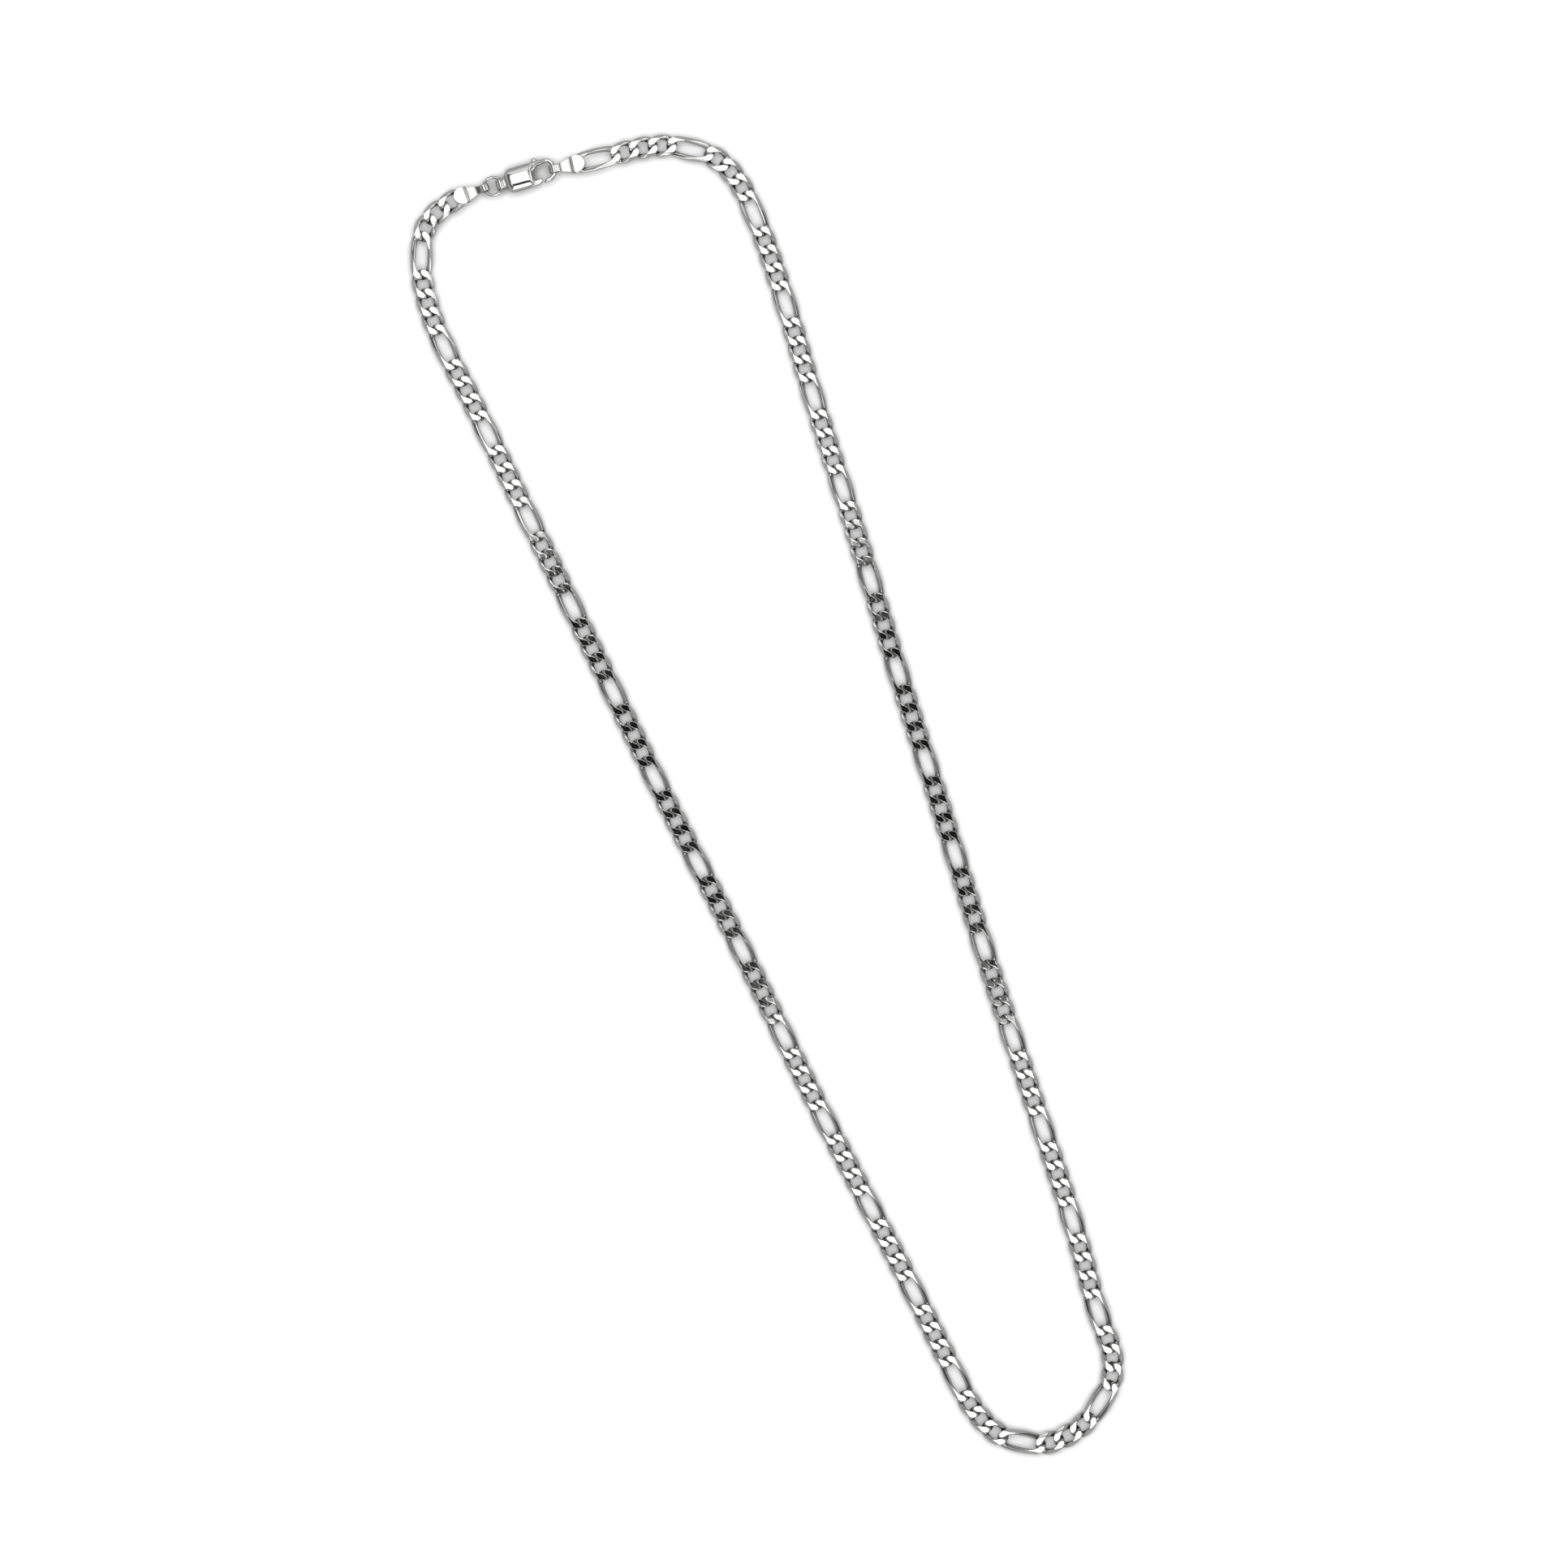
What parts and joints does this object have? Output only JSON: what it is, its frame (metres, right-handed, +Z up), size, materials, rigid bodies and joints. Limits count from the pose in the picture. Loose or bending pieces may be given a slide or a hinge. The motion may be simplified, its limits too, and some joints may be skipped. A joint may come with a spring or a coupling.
{
  "type": "figaro chain necklace",
  "caption": "Closed necklace of flat curb links in a repeating long and short pattern, with folded end tags, a jump ring and a lobster clasp.",
  "frame": {"origin": "centre of the laid necklace's outline, on the surface that it lies on", "axes": "+Y runs along the laid necklace towards the clasp, +Z up from the surface, +X to the right of +Y seen from above"},
  "size_m": [0.065, 0.2524, 0.0026],
  "materials": {
    "chain": "bright polished sterling silver",
    "clasp": "bright polished sterling silver",
    "lever": "bright polished sterling silver",
    "ring": "bright polished sterling silver",
    "tag": "bright pressed sterling silver strip"
  },
  "bodies": {
    "necklace": {"clasp_body": "clasp", "jump_ring": "ring", "ring_tag": "tag", "hook_tag": "tag", "figaro_links_01": "chain", "figaro_links_02": "chain", "figaro_links_03": "chain", "figaro_links_04": "chain", "figaro_links_05": "chain", "figaro_links_06": "chain", "figaro_links_07": "chain", "figaro_links_08": "chain", "figaro_links_09": "chain", "figaro_links_10": "chain", "figaro_links_11": "chain", "figaro_links_12": "chain", "figaro_links_13": "chain", "figaro_links_14": "chain", "figaro_links_15": "chain", "figaro_links_16": "chain", "figaro_links_17": "chain", "figaro_links_18": "chain", "figaro_links_19": "chain", "figaro_links_20": "chain", "figaro_links_21": "chain", "figaro_links_22": "chain", "figaro_links_23": "chain", "figaro_links_24": "chain", "figaro_links_25": "chain", "figaro_links_26": "chain", "figaro_links_27": "chain", "figaro_links_28": "chain", "figaro_links_29": "chain", "figaro_links_30": "chain", "figaro_links_31": "chain"},
    "lever": {"clasp_lever": "lever"}
  },
  "joints": [
    {"name": "lever_hinge", "type": "hinge", "parent": "necklace", "child": "lever", "pos_m": [-0.00458, 0.1236, 0.0013], "axis": [0, 0, 1], "range_deg": [0, 22], "stiffness_Nm_per_rad": 0.005, "springref_deg": -14.32}
  ]
}
